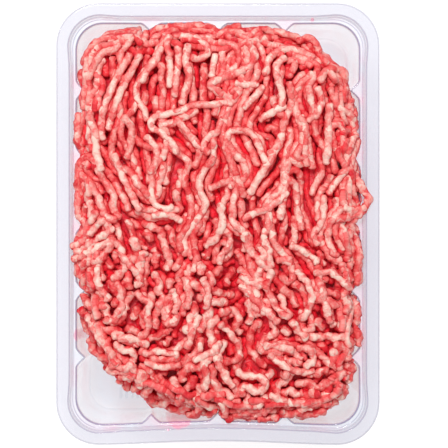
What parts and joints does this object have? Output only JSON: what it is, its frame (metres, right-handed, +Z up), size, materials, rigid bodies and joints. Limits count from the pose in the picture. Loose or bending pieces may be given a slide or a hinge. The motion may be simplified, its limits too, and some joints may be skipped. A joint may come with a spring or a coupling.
{
  "type": "meat tray pack",
  "caption": "Open clear plastic retail tray with ribbed walls, filled with a heap of raw minced meat strands.",
  "frame": {"origin": "on the table under the middle of the tray", "axes": "+Z up, +Y along the tray's length towards its far short end, +X to the right across its width"},
  "size_m": [0.137, 0.187, 0.0545],
  "materials": {
    "clear_plastic": "clear thermoformed sheet, glossy",
    "raw_mince": "moist raw meat, red with pale fat"
  },
  "bodies": {
    "root": {"tray": "clear_plastic", "mince": "raw_mince"}
  },
  "joints": []
}
